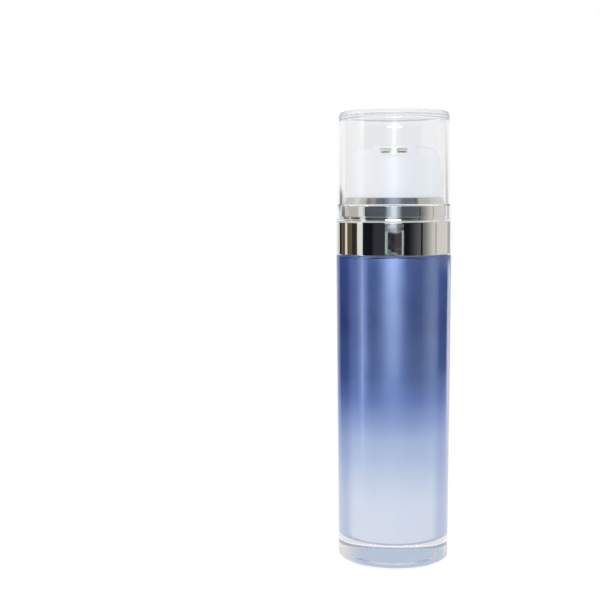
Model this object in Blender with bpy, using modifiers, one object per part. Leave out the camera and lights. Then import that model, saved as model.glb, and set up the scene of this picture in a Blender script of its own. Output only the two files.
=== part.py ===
"""Dual-chamber airless pump bottle: two pumps and two chambers under one head.

Lengths are in metres, +Z is up, and the origin is at the centre of the foot.
The two outlets face -Y and the two chambers stand side by side along X.
Names end in _r for a radius, _t for a thickness, _h for a height, _z for a level.
"""
import math

import bpy
import bmesh
from mathutils import Vector

# Clearance between pieces that fit or rest on each other
fit_gap = 0.0003

# Clear outer bottle
body_top_r = 0.0200
body_taper_t = 0.00065
shoulder_z = 0.1068
wall_top_t = 0.0020
wall_foot_t = 0.0017
base_t = 0.0080
foot_fillet_r = 0.0010
shoulder_fillet_r = 0.0004
foot_ring_t = 0.00935
recess_h = 0.0003
neck_step_t = 0.0013
neck_h = 0.0051
snap_bead_t = 0.0003
snap_bead_h = 0.0010
snap_bead_rise = 0.0024

# Coloured inner cup, hung by its flange on the neck
sleeve_wall_t = 0.0012
sleeve_flange_t = 0.0008
sleeve_corner_r = 0.0010
sleeve_floor_gap = 0.0003

# Neck gasket and the plate that carries both pumps
neck_gasket_t = 0.0006
neck_gasket_w = 0.0019
plate_t = 0.0018
plate_boss_h = 0.0017
plate_edge_inset = 0.0001
vent_r = 0.0006
vent_inset = 0.0035

# Bright lower band of the collar
band_foot_gap = 0.0003
band_lip_t = 0.0010
band_lip_overlap = 0.0005
band_top_fillet_r = 0.0005
band_foot_fillet_r = 0.0002

# Bright upper tier of the collar, held down by the band's lip
ring_foot_t = 0.0009
ring_wall_t = 0.0020
tier_step_t = 0.0018
tier_gap_h = 0.0014
tier_wall_h = 0.0036
tier_chamfer_h = 0.0030
tier_chamfer_t = 0.0010
tier_top_fillet_r = 0.0003
tier_bore_fillet_r = 0.0004

# Clear over-cap
cap_h = 0.0370
cap_rim_step_t = 0.00015
cap_taper_t = 0.00040
cap_top_t = 0.0021
cap_top_fillet_r = 0.0012
cap_rim_fillet_r = 0.0003
cap_skirt_clearance = 0.0004
cap_step_t = 0.0004
cap_step_rise = 0.0048
cap_step_h = 0.0003
cap_inner_step_rise = 0.0003
cap_upper_wall_t = 0.0013
cap_inner_fillet_r = 0.0010

# Pump head
head_clearance = 0.0004
head_h = 0.0206
head_wall_t = 0.0012
head_top_t = 0.0008
head_sunk_h = 0.0032
head_shoulder_w = 0.0060
head_shoulder_h = 0.0035
head_skirt_fillet_r = 0.0003

# Brow over the front of the head that carries the two outlets
brow_half_w = 0.0074
brow_stand_t = 0.0005
brow_h = 0.0030
brow_arch_h = 0.0007
brow_top_drop = 0.0003
brow_depth = 0.0049
brow_edge_r = 0.0009

# Two outlets
outlet_x = 0.00265
outlet_w = 0.0034
outlet_h = 0.00145
outlet_hole_w = 0.0026
outlet_hole_h = 0.0007
outlet_drop = 0.0019

# Core inside the head: two sockets, a web and two ducts
socket_wall_t = 0.0008
core_web_t = 0.0010
core_web_drop = 0.0050
core_top_gap = 0.0004
duct_bar_w = 0.0038
duct_bar_drop = 0.0002
duct_channel_w = 0.0020
duct_channel_h = 0.0014
duct_roof_t = 0.0006
socket_depth = 0.0040
socket_clearance_h = 0.0055

# Chambers, as wide as fits side by side in the cup
chambers_apart = 0.0004
chamber_wall_t = 0.0008
chamber_floor_t = 0.0012
chamber_vent_r = 0.00075
chamber_gasket_t = 0.0006

# Follower pistons
piston_h = 0.0070
piston_lip_h = 0.0012
piston_waist_t = 0.0005
piston_skirt_t = 0.0010
piston_crown_t = 0.0016
piston_crown_chamfer = 0.0008

# Pump housings; the shares are of the chamber's radius
housing_body_share = 0.60
housing_flange_t = 0.0012
housing_wall_t = 0.0009
housing_plug_t = 0.0010
housing_plug_h = 0.0040
housing_drop = 0.0217
nose_share = 0.36
nose_inlet_r = 0.0009
nose_inlet_h = 0.0015
ball_bore_r = 0.0016
ball_lip_r = 0.0011
ball_lip_t = 0.0005
nose_cone_h = 0.0019

# Inlet balls
ball_r = 0.00125
ball_lift = 0.0008
ball_lip_clearance = 0.00015

# Lock rings on the plate
lock_ring_wall_t = 0.0011
lock_ring_h = 0.0025
lock_roof_t = 0.0010
lock_edge_r = 0.0003

# Stems, seals and springs; the stem is a share of the seal's radius, its bore a share of the stem's
stem_share = 0.627
stem_bore_share = 0.50
stem_foot_clearance = 0.0004
stem_foot_t = 0.0008
stem_port_r = 0.0005
stem_seal_h = 0.0024
stem_seal_waist_t = 0.0003
stem_seal_lip_h = 0.0006
spring_clearance = 0.0008
spring_wire_r = 0.0003
spring_turns = 8

# Travel
head_stroke = 0.0050

# Smoothness
large_steps = 40
small_steps = 16
ball_segments = 12
ball_rings = 8
fillet_steps = 3
shoulder_steps = 6
arch_steps = 6
spring_points_per_turn = 9
merge_reach = 0.00001
cut_overrun = 0.0010
fillet_reach_share = 0.45
sharp_angle = math.radians(32)

# Levels, from the foot up
neck_top_z = shoulder_z + neck_h
sleeve_flange_z = neck_top_z + fit_gap
gasket_z = sleeve_flange_z + sleeve_flange_t + fit_gap
plate_z = gasket_z + neck_gasket_t + fit_gap
plate_top_z = plate_z + plate_t
ring_foot_z = plate_top_z + fit_gap
band_lip_z = ring_foot_z + ring_foot_t + fit_gap
band_top_z = band_lip_z + band_lip_t
tier_z = band_top_z + tier_gap_h
tier_chamfer_z = tier_z + tier_wall_h
tier_top_z = tier_chamfer_z + tier_chamfer_h
cap_rim_z = band_top_z + fit_gap
cap_top_z = cap_rim_z + cap_h
head_z = tier_top_z - head_sunk_h
head_top_z = head_z + head_h
outlet_z = head_top_z - outlet_drop
core_top_z = head_top_z - head_top_t - core_top_gap

# Radii that follow from the pieces around them, from the body inwards
body_foot_r = body_top_r - body_taper_t
recess_r = body_foot_r - foot_ring_t
cavity_top_r = body_top_r - wall_top_t
cavity_foot_r = body_foot_r - wall_foot_t
sleeve_top_r = cavity_top_r - fit_gap
sleeve_bore_r = min(cavity_top_r, cavity_foot_r) - fit_gap - sleeve_wall_t
neck_r = body_top_r - neck_step_t
plate_r = neck_r - plate_edge_inset
neck_gasket_bore_r = plate_r - neck_gasket_w
band_skirt_r = neck_r + fit_gap
ring_foot_r = band_skirt_r - fit_gap
band_lip_r = ring_foot_r - band_lip_overlap
ring_waist_r = band_lip_r - fit_gap
tier_r = body_top_r - tier_step_t
ring_bore_r = tier_r - ring_wall_t
cap_rim_r = body_top_r - cap_rim_step_t
cap_waist_r = cap_rim_r - cap_step_t
cap_top_r = cap_waist_r - cap_taper_t
head_r = ring_bore_r - head_clearance
head_inner_r = head_r - head_wall_t
brow_r = head_r + brow_stand_t
brow_back_y = brow_depth - brow_r
core_front_y = brow_back_y + fit_gap

# Radii of the pumps
chamber_r = (sleeve_bore_r - fit_gap - chambers_apart / 2) / 2
chamber_x = chamber_r + chambers_apart / 2
chamber_bore_r = chamber_r - chamber_wall_t
piston_r = chamber_bore_r - fit_gap
housing_body_r = housing_body_share * chamber_r
housing_bore_r = housing_body_r - housing_wall_t
nose_r = nose_share * chamber_r
lock_ring_r = housing_body_r + fit_gap + lock_ring_wall_t
stem_seal_r = housing_bore_r - fit_gap
stem_r = stem_share * stem_seal_r
stem_bore_r = stem_bore_share * stem_r
stem_foot_r = housing_bore_r - stem_foot_clearance
spring_r = housing_bore_r - spring_clearance - spring_wire_r
core_tube_r = stem_r + fit_gap + socket_wall_t

# Levels of the pumps, from the plate down and up
boss_z = plate_z - plate_boss_h
flange_z = boss_z - fit_gap - housing_flange_t
chamber_gasket_z = flange_z - fit_gap - chamber_gasket_t
chamber_top_z = chamber_gasket_z - fit_gap
sleeve_z = base_t + sleeve_floor_gap
chamber_z = sleeve_z + sleeve_wall_t + fit_gap
lock_ring_z = plate_top_z + fit_gap
lock_top_z = lock_ring_z + lock_ring_h
housing_top_z = lock_top_z - lock_roof_t - fit_gap
nose_z = housing_top_z - housing_drop
seat_z = nose_z + nose_inlet_h
seat_top_z = seat_z + ball_bore_r - nose_inlet_r
ball_z = seat_z - nose_inlet_r + (ball_r + fit_gap) * math.sqrt(2)
lip_rise = math.sqrt((ball_r + ball_lip_clearance) ** 2 - min(ball_lip_r, ball_r) ** 2)
ball_lip_z = ball_z + ball_lift + lip_rise
ledge_z = ball_lip_z + ball_lip_t
stem_seal_z = housing_top_z - fit_gap - stem_seal_h
stem_foot_z = stem_seal_z - fit_gap - stem_foot_t
socket_z = lock_top_z + socket_clearance_h
stem_top_z = socket_z + socket_depth
piston_z = chamber_z + chamber_floor_t + fit_gap
piston_travel = nose_z - fit_gap - piston_z - piston_h

sides = (("left", -chamber_x), ("right", chamber_x))


def new_collection(name):
    collection = bpy.data.collections.new(name)
    bpy.context.scene.collection.children.link(collection)
    return collection


for old in list(bpy.data.objects):
    bpy.data.objects.remove(old, do_unlink=True)
parts = new_collection("dual_chamber_pump_bottle")
cutters = new_collection("cutters")


def finish(name, colour, roughness, metallic=0.0, alpha=1.0, transmission=0.0):
    """A material with one Principled shader."""
    material = bpy.data.materials.new(name)
    material.use_nodes = True
    shader = material.node_tree.nodes["Principled BSDF"]
    shader.inputs["Base Color"].default_value = (*colour, 1.0)
    shader.inputs["Roughness"].default_value = roughness
    shader.inputs["Metallic"].default_value = metallic
    shader.inputs["Alpha"].default_value = alpha
    shader.inputs["Transmission Weight"].default_value = transmission
    return material


clear_acrylic = finish("clear_acrylic", (0.93, 0.95, 0.97), 0.05, alpha=0.35, transmission=0.9)
bright_plating = finish("bright_plating", (0.80, 0.80, 0.79), 0.06, metallic=1.0)
white_plastic = finish("white_plastic", (0.85, 0.87, 0.89), 0.30)
outlet_plastic = finish("outlet_plastic", (0.60, 0.60, 0.55), 0.45)
sleeve_lacquer = finish("sleeve_lacquer", (0.10, 0.17, 0.42), 0.28, metallic=0.6)
natural_plastic = finish("natural_plastic", (0.80, 0.81, 0.80), 0.40)
seal_rubber = finish("seal_rubber", (0.72, 0.72, 0.70), 0.60)
spring_steel = finish("spring_steel", (0.60, 0.60, 0.60), 0.25, metallic=1.0)
ball_steel = finish("ball_steel", (0.66, 0.66, 0.67), 0.12, metallic=1.0)


def empty(name, location):
    """A parent that moves a group of pieces together."""
    holder = bpy.data.objects.new(name, None)
    holder.location = location
    parts.objects.link(holder)
    return holder


def keep(obj, material, parent=None):
    """Put a finished piece in the part, under its parent, shaded smooth up to its sharp edges."""
    for old_home in list(obj.users_collection):
        old_home.objects.unlink(obj)
    parts.objects.link(obj)
    bpy.context.view_layer.update()
    evaluated = obj.evaluated_get(bpy.context.evaluated_depsgraph_get())
    mesh = bpy.data.meshes.new_from_object(evaluated)
    mesh.name = obj.name
    obj.modifiers.clear()
    obj.data = mesh
    mesh.materials.clear()
    mesh.materials.append(material)
    mesh.shade_smooth()
    mesh.set_sharp_from_angle(angle=sharp_angle)
    if parent is not None:
        obj.parent = parent
        obj.location = obj.location - parent.location
    return obj


def boolean(target, tool, operation):
    """Join, cut or intersect the target with a tool, which moves to the cutters."""
    modifier = target.modifiers.new(f"{operation.lower()}_{tool.name}", "BOOLEAN")
    modifier.operation = operation
    modifier.solver = "EXACT"
    modifier.object = tool
    tool.hide_render = True
    tool.display_type = "WIRE"
    for old_home in list(tool.users_collection):
        old_home.objects.unlink(tool)
    cutters.objects.link(tool)


def rounded(points, steps=fillet_steps):
    """Replace each corner that gives a third value by an arc of that radius."""
    outline = []
    for index, point in enumerate(points):
        if len(point) == 2:
            outline.append(point)
            continue
        corner = Vector(point[:2])
        before = Vector(points[index - 1][:2]) - corner
        after = Vector(points[(index + 1) % len(points)][:2]) - corner
        half = before.angle(after) / 2
        limit = fillet_reach_share * min(before.length, after.length)
        reach = min(point[2] / math.tan(half), limit)
        radius = reach * math.tan(half)
        towards = (before.normalized() + after.normalized()).normalized()
        centre = corner + towards * (radius / math.sin(half))
        start = corner + before.normalized() * reach - centre
        end = corner + after.normalized() * reach - centre
        sweep = math.pi - 2 * half
        for step in range(steps + 1):
            angle = sweep * step / steps
            turned_arm = start * math.sin(sweep - angle) + end * math.sin(angle)
            outline.append(tuple(centre + turned_arm / math.sin(sweep)))
    return outline


def turned(name, points, origin=(0, 0, 0), steps=large_steps):
    """Turn a profile of (radius, level) points, given down its outer side, about the origin's axis."""
    outline = rounded(points)
    closed = outline[0][0] > 0
    verts = [(radius, 0, level - origin[2]) for radius, level in outline]
    edges = [(index, index + 1) for index in range(len(verts) - 1)]
    if closed:
        edges.append((len(verts) - 1, 0))
    mesh = bpy.data.meshes.new(name)
    mesh.from_pydata(verts, edges, [])
    obj = bpy.data.objects.new(name, mesh)
    obj.location = origin
    screw = obj.modifiers.new("turn", "SCREW")
    screw.steps = steps
    screw.render_steps = steps
    screw.use_merge_vertices = True
    screw.merge_threshold = merge_reach
    screw.use_smooth_shade = True
    parts.objects.link(obj)
    return obj


def cylinder(name, radius, low_z, high_z, x=0.0, y=0.0, steps=small_steps):
    """A plain upright cylinder between two levels."""
    return turned(name, [(0, high_z), (radius, high_z), (radius, low_z), (0, low_z)], (x, y, 0), steps)


def drill(obj, steps=small_steps):
    """Turn a round cutter by half a facet, so that its edges miss the facets of the piece it cuts."""
    obj.rotation_euler.z = math.pi / steps
    return obj


def block(name, size, centre):
    """A box of the given size about its centre."""
    mesh = bpy.data.meshes.new(name)
    shape = bmesh.new()
    bmesh.ops.create_cube(shape, size=1)
    bmesh.ops.scale(shape, vec=size, verts=shape.verts)
    shape.to_mesh(mesh)
    shape.free()
    obj = bpy.data.objects.new(name, mesh)
    obj.location = centre
    parts.objects.link(obj)
    return obj


def prism(name, outline, depth, centre, upright=False):
    """A flat outline, made as a filled curve, with a depth along Z or, if upright, along Y."""
    curve = bpy.data.curves.new(name, "CURVE")
    curve.dimensions = "2D"
    curve.fill_mode = "BOTH"
    curve.extrude = depth / 2
    spline = curve.splines.new("POLY")
    spline.points.add(len(outline) - 1)
    for point, (across, along) in zip(spline.points, outline):
        point.co = (across, along, 0, 1)
    spline.use_cyclic_u = True
    source = bpy.data.objects.new(name, curve)
    source.location = centre
    if upright:
        source.rotation_euler.x = math.pi / 2
    parts.objects.link(source)
    return as_mesh(source)


def as_mesh(source):
    """Turn a curve object into a closed mesh object of the same name and place."""
    name = source.name
    bpy.context.view_layer.update()
    mesh = bpy.data.meshes.new_from_object(source.evaluated_get(bpy.context.evaluated_depsgraph_get()))
    shape = bmesh.new()
    shape.from_mesh(mesh)
    bmesh.ops.remove_doubles(shape, verts=shape.verts, dist=merge_reach)
    bmesh.ops.recalc_face_normals(shape, faces=shape.faces)
    shape.to_mesh(mesh)
    shape.free()
    place = source.matrix_world.copy()
    bpy.data.objects.remove(source, do_unlink=True)
    obj = bpy.data.objects.new(name, mesh)
    obj.matrix_world = place
    parts.objects.link(obj)
    return obj


def make_outer_bottle():
    """Clear bottle: thick wall, heavy base, thin neck with a snap bead."""
    cavity_neck_r = cavity_top_r
    bead_z = shoulder_z + snap_bead_rise
    profile = [
        (0, base_t),
        (cavity_foot_r, base_t, sleeve_corner_r + fit_gap),
        (cavity_top_r, shoulder_z),
        (cavity_neck_r, neck_top_z),
        (neck_r, neck_top_z),
        (neck_r, bead_z + snap_bead_h),
        (neck_r + snap_bead_t, bead_z + snap_bead_h / 2),
        (neck_r, bead_z),
        (neck_r, shoulder_z),
        (body_top_r, shoulder_z, shoulder_fillet_r),
        (body_foot_r, 0, foot_fillet_r),
        (recess_r, 0),
        (recess_r - recess_h, recess_h),
        (0, recess_h),
    ]
    keep(turned("outer_bottle", profile), clear_acrylic)


def sleeve_radius(level):
    """Outer radius of the coloured cup at a level, a gap inside the bottle's drafted cavity."""
    share = (level - base_t) / (shoulder_z - base_t)
    return cavity_foot_r - fit_gap + (cavity_top_r - cavity_foot_r) * min(max(share, 0), 1)


def make_inner_sleeve():
    """Coloured cup that hangs by its flange on the neck of the clear bottle."""
    foot_r = sleeve_radius(sleeve_z)
    flange_top_z = sleeve_flange_z + sleeve_flange_t
    profile = [
        (0, sleeve_z + sleeve_wall_t),
        (foot_r - sleeve_wall_t, sleeve_z + sleeve_wall_t),
        (sleeve_top_r - sleeve_wall_t, shoulder_z),
        (sleeve_top_r - sleeve_wall_t, flange_top_z),
        (plate_r, flange_top_z),
        (plate_r, sleeve_flange_z),
        (sleeve_top_r, sleeve_flange_z),
        (sleeve_top_r, shoulder_z),
        (foot_r, sleeve_z, sleeve_corner_r),
        (0, sleeve_z),
    ]
    keep(turned("inner_sleeve", profile), sleeve_lacquer)


def washer(name, bore_r, outer_r, low_z, high_z, x=0.0, steps=large_steps):
    """A flat ring."""
    profile = [(outer_r, high_z), (outer_r, low_z), (bore_r, low_z), (bore_r, high_z)]
    return turned(name, profile, (x, 0, 0), steps)


def make_neck_gasket():
    top_z = gasket_z + neck_gasket_t
    keep(washer("neck_gasket", neck_gasket_bore_r, plate_r, gasket_z, top_z), seal_rubber)


def make_pump_plate():
    """Plate with a boss and a bore for each pump and a small air vent."""
    plate = cylinder("pump_plate", plate_r, plate_z, plate_top_z, steps=large_steps)
    bore_r = housing_body_r + fit_gap
    for side, x in sides:
        boss = cylinder(f"plate_boss_{side}", chamber_r, boss_z, plate_z + plate_t / 2, x)
        boolean(plate, boss, "UNION")
    for side, x in sides:
        bore = cylinder(f"plate_bore_{side}", bore_r, boss_z - cut_overrun, plate_top_z + cut_overrun, x)
        boolean(plate, drill(bore), "DIFFERENCE")
    vent_y = neck_gasket_bore_r - vent_inset
    vent = cylinder("plate_vent", vent_r, plate_z - cut_overrun, plate_top_z + cut_overrun, 0, vent_y)
    boolean(plate, drill(vent), "DIFFERENCE")
    keep(plate, natural_plastic)


def make_collar_band():
    """Lower band: snaps over the neck's bead and holds the upper tier down by an inward lip."""
    low_z = shoulder_z + band_foot_gap
    bead_z = shoulder_z + snap_bead_rise
    groove_r = band_skirt_r + snap_bead_t
    profile = [
        (body_top_r, band_top_z, band_top_fillet_r),
        (body_top_r, low_z, band_foot_fillet_r),
        (band_skirt_r, low_z),
        (band_skirt_r, bead_z - fit_gap),
        (groove_r, bead_z + snap_bead_h / 2 - fit_gap),
        (groove_r, bead_z + snap_bead_h / 2 + fit_gap),
        (band_skirt_r, bead_z + snap_bead_h + fit_gap),
        (band_skirt_r, band_lip_z),
        (band_lip_r, band_lip_z),
        (band_lip_r, band_top_z),
    ]
    keep(turned("collar_band", profile), bright_plating)


def make_shoulder_ring():
    """Upper tier: foot under the band's lip, waist, wall, chamfer and the bore the head slides in."""
    top_r = tier_r - tier_chamfer_t
    profile = [
        (top_r, tier_top_z, tier_top_fillet_r),
        (tier_r, tier_chamfer_z),
        (tier_r, tier_z, tier_top_fillet_r),
        (ring_waist_r, tier_z),
        (ring_waist_r, ring_foot_z + ring_foot_t),
        (ring_foot_r, ring_foot_z + ring_foot_t),
        (ring_foot_r, ring_foot_z),
        (ring_bore_r, ring_foot_z),
        (ring_bore_r, tier_top_z, tier_bore_fillet_r),
    ]
    keep(turned("shoulder_ring", profile), bright_plating)


def make_over_cap():
    """Clear cap: drafted wall, thick top, and a slightly wider skirt that slides over the upper tier."""
    skirt_r = tier_r + cap_skirt_clearance
    step_z = cap_rim_z + cap_step_rise
    inner_step_z = step_z + cap_inner_step_rise
    inner_top_z = cap_top_z - cap_top_t
    profile = [
        (0, cap_top_z),
        (cap_top_r, cap_top_z, cap_top_fillet_r),
        (cap_waist_r, step_z + cap_step_h),
        (cap_rim_r, step_z),
        (cap_rim_r, cap_rim_z, cap_rim_fillet_r),
        (skirt_r, cap_rim_z, cap_rim_fillet_r),
        (skirt_r, inner_step_z),
        (cap_waist_r - cap_upper_wall_t, inner_step_z + cap_step_h),
        (cap_top_r - cap_upper_wall_t, inner_top_z, cap_inner_fillet_r),
        (0, inner_top_z),
    ]
    keep(turned("over_cap", profile, (0, 0, cap_rim_z)), clear_acrylic)


def head_profile(radius, top_z, shoulder_w, shoulder_h):
    """Points of a soft shoulder, from the axis at the top to the wall below it."""
    points = [(0, top_z)]
    for step in range(shoulder_steps + 1):
        angle = math.pi / 2 * step / shoulder_steps
        level = top_z - shoulder_h + shoulder_h * math.cos(angle)
        points.append((radius - shoulder_w + shoulder_w * math.sin(angle), level))
    return points


def brow_outline():
    """Front view of the brow: straight top and sides, and an arched lower edge."""
    top_z = head_top_z - brow_top_drop
    arch = []
    for step in range(arch_steps + 1):
        share = 2 * step / arch_steps - 1
        level = top_z - brow_h + brow_arch_h * (math.cos(share * math.pi / 2) - 1)
        arch.append((share * brow_half_w, level))
    return arch + [(brow_half_w, top_z), (-brow_half_w, top_z)]


def make_actuator_shell(parent):
    """White head: soft shoulder, thin skirt, and a brow at the front with a slot for each outlet."""
    outer = head_profile(head_r, head_top_z, head_shoulder_w, head_shoulder_h)
    inner_top_z = head_top_z - head_top_t
    inner = head_profile(head_inner_r, inner_top_z, head_shoulder_w - head_wall_t, head_shoulder_h - head_top_t)
    profile = outer + [(head_r, head_z, head_skirt_fillet_r), (head_inner_r, head_z)] + inner[::-1]
    shell = turned("actuator_shell", profile, (0, 0, head_z))
    brow = prism("brow_blank", brow_outline(), brow_depth * 2, (0, -brow_r, 0), upright=True)
    brow_top_z = head_top_z - brow_top_drop
    envelope_points = [
        (0, brow_top_z + cut_overrun),
        (brow_r - brow_edge_r, brow_top_z + cut_overrun),
        (brow_r - brow_edge_r, brow_top_z),
        (brow_r, brow_top_z - brow_edge_r),
        (brow_r, head_z),
        (0, head_z),
    ]
    envelope = turned("brow_envelope", envelope_points)
    boolean(brow, envelope, "INTERSECT")
    boolean(shell, brow, "UNION")
    slot_size = (outlet_w + 2 * fit_gap, 2 * brow_depth, outlet_h + 2 * fit_gap)
    for side, x in (("left", -outlet_x), ("right", outlet_x)):
        slot = block(f"outlet_slot_{side}", slot_size, (x, -brow_r, outlet_z))
        boolean(shell, slot, "DIFFERENCE")
    keep(shell, white_plastic, parent)


def make_nozzle_inserts(parent):
    """Rectangular outlet tubes that fill the brow's slots."""
    front_y = -math.sqrt(brow_r ** 2 - (outlet_x + outlet_w / 2) ** 2)
    length = brow_back_y - front_y
    for side, x in (("left", -outlet_x), ("right", outlet_x)):
        middle = (x, (front_y + brow_back_y) / 2, outlet_z)
        insert = block(f"nozzle_insert_{side}", (outlet_w, length, outlet_h), middle)
        hole_size = (outlet_hole_w, length + 2 * cut_overrun, outlet_hole_h)
        hole = block(f"nozzle_hole_{side}", hole_size, middle)
        boolean(insert, hole, "DIFFERENCE")
        keep(insert, outlet_plastic, parent)


def duct_outline(socket_x, mouth_x, width, back_y, front_y):
    """Plan of a duct of a given width on the line from a socket to its outlet, square at both ends."""
    slope = (mouth_x - socket_x) / core_front_y
    back_x = socket_x + slope * back_y
    front_x = socket_x + slope * front_y
    half_w = width / 2
    back = [(back_x + half_w, back_y), (back_x - half_w, back_y)]
    return back + [(front_x - half_w, front_y), (front_x + half_w, front_y)]


def make_actuator_core(parent):
    """Two stem sockets joined by a web, with a slanting duct from each socket to its outlet."""
    web_z = head_top_z - core_web_drop
    core = cylinder("actuator_core", head_inner_r - fit_gap, web_z, web_z + core_web_t, steps=large_steps)
    bar_low_z = web_z + core_web_t / 2
    bar_h = core_top_z - duct_bar_drop - bar_low_z
    channel_z = core_top_z - duct_roof_t - duct_channel_h / 2
    cuts = []
    for (side, x), mouth_x in zip(sides, (-outlet_x, outlet_x)):
        tube = cylinder(f"core_tube_{side}", core_tube_r, socket_z, core_top_z, x)
        boolean(core, tube, "UNION")
        plan = duct_outline(x, mouth_x, duct_bar_w, core_tube_r / 2, core_front_y)
        bar = prism(f"core_bar_{side}", plan, bar_h, (0, 0, bar_low_z + bar_h / 2))
        boolean(core, bar, "UNION")
        bore = [
            (0, channel_z),
            (stem_bore_r, channel_z),
            (stem_bore_r, stem_top_z + fit_gap),
            (stem_r + fit_gap, stem_top_z + fit_gap),
            (stem_r + fit_gap, socket_z - cut_overrun),
            (0, socket_z - cut_overrun),
        ]
        cuts.append(drill(turned(f"socket_{side}", bore, (x, 0, 0), small_steps)))
        plan = duct_outline(x, mouth_x, duct_channel_w, stem_bore_r / 2, core_front_y - cut_overrun)
        cuts.append(prism(f"channel_{side}", plan, duct_channel_h, (0, 0, channel_z)))
    for cut in cuts:
        boolean(core, cut, "DIFFERENCE")
    keep(core, outlet_plastic, parent)


def make_chambers():
    """Product tubes, closed below around a small air hole."""
    for side, x in sides:
        profile = [
            (chamber_r, chamber_top_z),
            (chamber_r, chamber_z, chamber_floor_t / 2),
            (chamber_vent_r, chamber_z),
            (chamber_vent_r, chamber_z + chamber_floor_t),
            (chamber_bore_r, chamber_z + chamber_floor_t),
            (chamber_bore_r, chamber_top_z),
        ]
        keep(turned(f"chamber_{side}", profile, (x, 0, chamber_z), small_steps), natural_plastic)
        top_z = chamber_gasket_z + chamber_gasket_t
        gasket = washer(f"chamber_gasket_{side}", chamber_bore_r, chamber_r, chamber_gasket_z, top_z, x, small_steps)
        keep(gasket, seal_rubber)


def make_follower_pistons():
    """Pistons with a wiping lip at each end and a hollow skirt."""
    waist_r = piston_r - piston_waist_t
    top_z = piston_z + piston_h
    inner_r = waist_r - piston_skirt_t
    for side, x in sides:
        profile = [
            (0, top_z),
            (piston_r - piston_crown_chamfer, top_z),
            (piston_r, top_z - piston_crown_chamfer),
            (piston_r, top_z - piston_crown_chamfer - piston_lip_h),
            (waist_r, top_z - piston_crown_chamfer - piston_lip_h - piston_waist_t),
            (waist_r, piston_z + piston_lip_h + piston_waist_t),
            (piston_r, piston_z + piston_lip_h),
            (piston_r, piston_z),
            (inner_r, piston_z),
            (inner_r, top_z - piston_crown_t),
            (0, top_z - piston_crown_t),
        ]
        piston = turned(f"follower_piston_{side}", profile, (x, 0, piston_z), small_steps)
        keep(piston, natural_plastic)


def make_pump_housings():
    """Pump bodies: flange and plug on the chamber, bore for the stem, seat and lip for the ball."""
    plug_z = flange_z - housing_plug_h
    for side, x in sides:
        profile = [
            (housing_body_r, housing_top_z),
            (housing_body_r, flange_z + housing_flange_t),
            (chamber_r, flange_z + housing_flange_t),
            (chamber_r, flange_z),
            (piston_r, flange_z),
            (piston_r, plug_z),
            (piston_r - housing_plug_t, plug_z),
            (piston_r - housing_plug_t, flange_z),
            (housing_body_r, flange_z),
            (housing_body_r, ball_lip_z),
            (nose_r, ball_lip_z - nose_cone_h),
            (nose_r, nose_z),
            (nose_inlet_r, nose_z),
            (nose_inlet_r, seat_z),
            (ball_bore_r, seat_top_z),
            (ball_bore_r, ball_lip_z),
            (ball_lip_r, ball_lip_z),
            (ball_lip_r, ledge_z),
            (housing_bore_r, ledge_z),
            (housing_bore_r, housing_top_z),
        ]
        housing = turned(f"pump_housing_{side}", profile, (x, 0, nose_z), small_steps)
        keep(housing, natural_plastic)


def make_inlet_balls():
    """Non-return balls, each just above its seat."""
    for side, x in sides:
        mesh = bpy.data.meshes.new(f"inlet_ball_{side}")
        shape = bmesh.new()
        bmesh.ops.create_uvsphere(shape, u_segments=ball_segments, v_segments=ball_rings, radius=ball_r)
        shape.to_mesh(mesh)
        shape.free()
        ball = bpy.data.objects.new(f"inlet_ball_{side}", mesh)
        ball.location = (x, 0, ball_z)
        parts.objects.link(ball)
        keep(ball, ball_steel)


def make_lock_rings():
    """Roofed rings that hold each housing in the plate and keep its stem in."""
    for side, x in sides:
        roof_z = lock_top_z - lock_roof_t
        profile = [
            (lock_ring_r, lock_top_z, lock_edge_r),
            (lock_ring_r, lock_ring_z),
            (housing_body_r + fit_gap, lock_ring_z),
            (housing_body_r + fit_gap, roof_z),
            (stem_r + fit_gap, roof_z),
            (stem_r + fit_gap, lock_top_z),
        ]
        ring = turned(f"lock_ring_{side}", profile, (x, 0, lock_ring_z), small_steps)
        keep(ring, white_plastic)


def make_stems(parent):
    """Hollow stems with a foot for the spring and a side port above it."""
    for side, x in sides:
        foot_top_z = stem_foot_z + stem_foot_t
        profile = [
            (0, foot_top_z),
            (stem_bore_r, foot_top_z),
            (stem_bore_r, stem_top_z),
            (stem_r, stem_top_z),
            (stem_r, foot_top_z),
            (stem_foot_r, foot_top_z),
            (stem_foot_r, stem_foot_z),
            (0, stem_foot_z),
        ]
        stem = turned(f"pump_stem_{side}", profile, (x, 0, stem_foot_z), small_steps)
        port = cylinder(f"stem_port_{side}", stem_port_r, -2 * stem_r, 2 * stem_r)
        port.rotation_euler.y = math.pi / 2
        port.location = (x, 0, foot_top_z + fit_gap + stem_port_r)
        boolean(stem, port, "DIFFERENCE")
        keep(stem, natural_plastic, parent)


def make_stem_seals(parent):
    """Sliding seals with a wiping lip at each end."""
    inner_r = stem_r + fit_gap
    waist_r = stem_seal_r - stem_seal_waist_t
    top_z = stem_seal_z + stem_seal_h
    for side, x in sides:
        profile = [
            (stem_seal_r, top_z),
            (stem_seal_r, top_z - stem_seal_lip_h),
            (waist_r, top_z - stem_seal_lip_h - stem_seal_waist_t),
            (waist_r, stem_seal_z + stem_seal_lip_h + stem_seal_waist_t),
            (stem_seal_r, stem_seal_z + stem_seal_lip_h),
            (stem_seal_r, stem_seal_z),
            (inner_r, stem_seal_z),
            (inner_r, top_z),
        ]
        seal = turned(f"stem_seal_{side}", profile, (x, 0, stem_seal_z), small_steps)
        keep(seal, seal_rubber, parent)


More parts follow.
